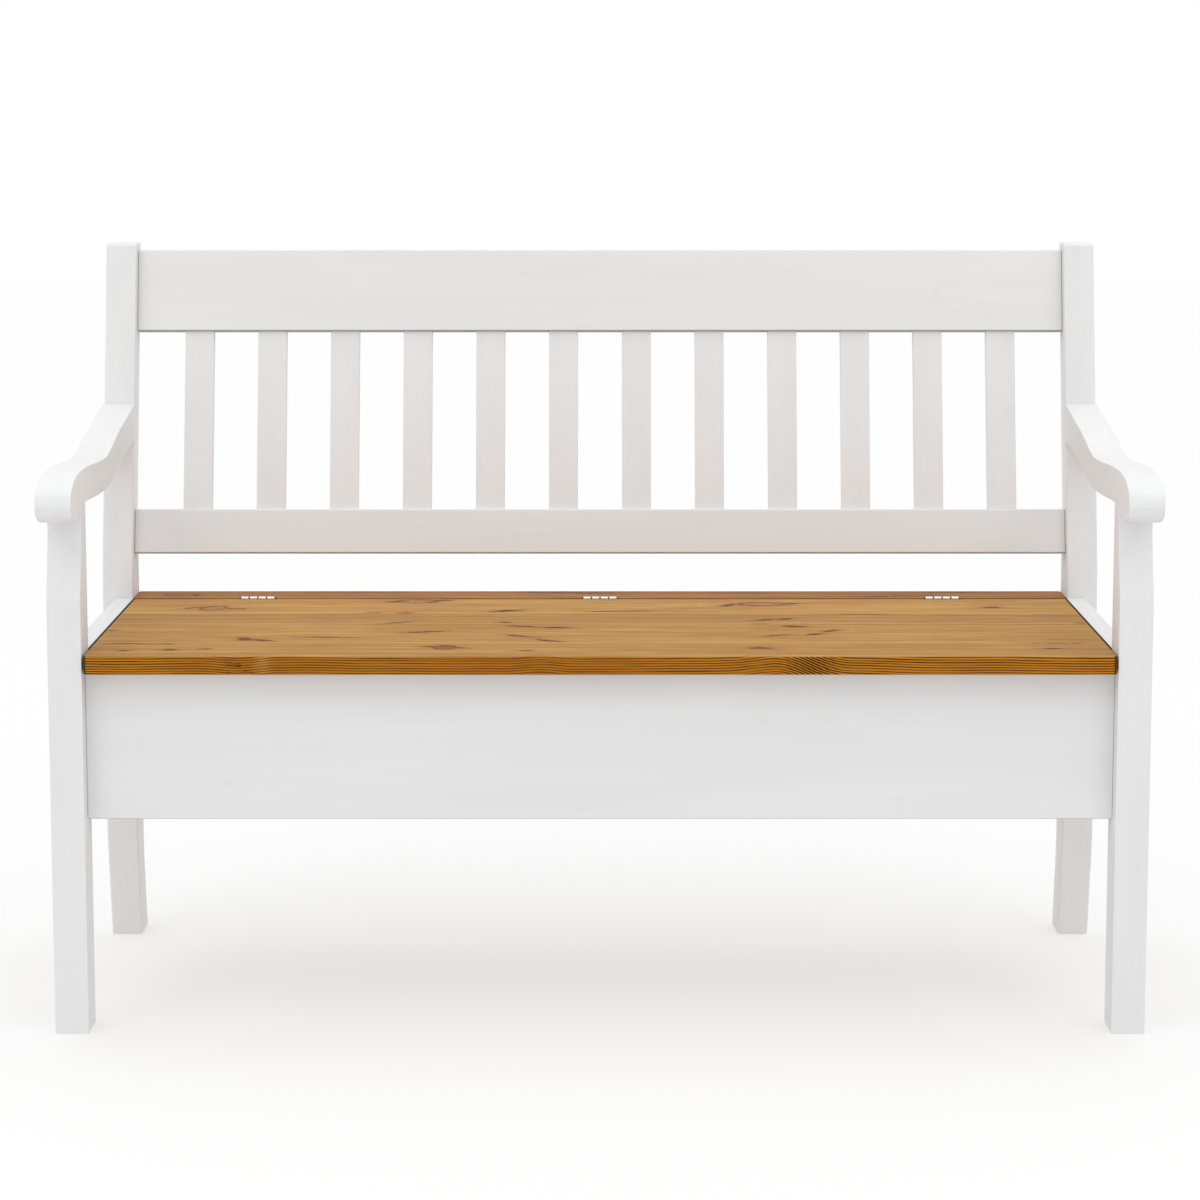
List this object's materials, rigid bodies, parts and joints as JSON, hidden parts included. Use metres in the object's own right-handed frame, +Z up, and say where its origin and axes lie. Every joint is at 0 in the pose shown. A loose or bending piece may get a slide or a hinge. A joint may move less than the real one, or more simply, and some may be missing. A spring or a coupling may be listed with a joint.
{
  "type": "storage bench",
  "caption": "White wooden storage bench with a slatted raked back, S-curved armrests and a box closed by a hinged, honey-stained pine seat.",
  "frame": {"origin": "on the floor, under the middle of the overall box", "axes": "+Z up, +X to the right of someone facing the bench, +Y from its front to its back"},
  "size_m": [1.304, 0.579, 0.918],
  "materials": {
    "white_lacquer": "satin white lacquer on pine, faint grain",
    "stained_pine": "honey stain with satin varnish on knotty edge-glued pine",
    "panel_pine": "bare pine panel",
    "dowel_beech": "bare beech",
    "hinge_steel": "nickel-plated steel",
    "screw_zinc": "zinc-plated steel"
  },
  "bodies": {
    "frame": {"front_leg_left": "white_lacquer", "rear_post_left": "white_lacquer", "armrest_left": "white_lacquer", "side_board_left": "white_lacquer", "cleat_left": "white_lacquer", "corner_block_front_left": "white_lacquer", "corner_block_rear_left": "white_lacquer", "front_leg_right": "white_lacquer", "rear_post_right": "white_lacquer", "armrest_right": "white_lacquer", "side_board_right": "white_lacquer", "cleat_right": "white_lacquer", "corner_block_front_right": "white_lacquer", "corner_block_rear_right": "white_lacquer", "front_board": "white_lacquer", "rear_board": "white_lacquer", "bottom_panel": "panel_pine", "cleat_front": "white_lacquer", "cleat_rear": "white_lacquer", "top_rail": "white_lacquer", "lower_rail": "white_lacquer", "back_slat_01": "white_lacquer", "back_slat_02": "white_lacquer", "back_slat_03": "white_lacquer", "back_slat_04": "white_lacquer", "back_slat_05": "white_lacquer", "back_slat_06": "white_lacquer", "back_slat_07": "white_lacquer", "back_slat_08": "white_lacquer", "back_slat_09": "white_lacquer", "back_slat_10": "white_lacquer", "back_slat_11": "white_lacquer", "back_slat_12": "white_lacquer", "hinge_rail": "stained_pine", "hinge_frame_leaf_left": "hinge_steel", "hinge_pin_left": "hinge_steel", "hinge_frame_leaf_centre": "hinge_steel", "hinge_pin_centre": "hinge_steel", "hinge_frame_leaf_right": "hinge_steel", "hinge_pin_right": "hinge_steel", "side_frame_dowels": "dowel_beech", "box_dowels": "dowel_beech", "armrest_dowels": "dowel_beech", "hinge_rail_dowels": "dowel_beech", "corner_block_screws": "screw_zinc", "cleat_screws": "screw_zinc", "hinge_frame_screws": "screw_zinc"},
    "lid": {"seat_lid": "stained_pine", "lid_batten_left": "stained_pine", "hinge_lid_leaf_left": "hinge_steel", "lid_batten_centre": "stained_pine", "hinge_lid_leaf_centre": "hinge_steel", "lid_batten_right": "stained_pine", "hinge_lid_leaf_right": "hinge_steel", "batten_screws": "screw_zinc", "hinge_lid_screws": "screw_zinc"}
  },
  "joints": [
    {"name": "lid_hinge", "type": "hinge", "parent": "frame", "child": "lid", "pos_m": [0, 0.16204, 0.4593], "axis": [-1, 0, 0], "range_deg": [0, 103]}
  ]
}
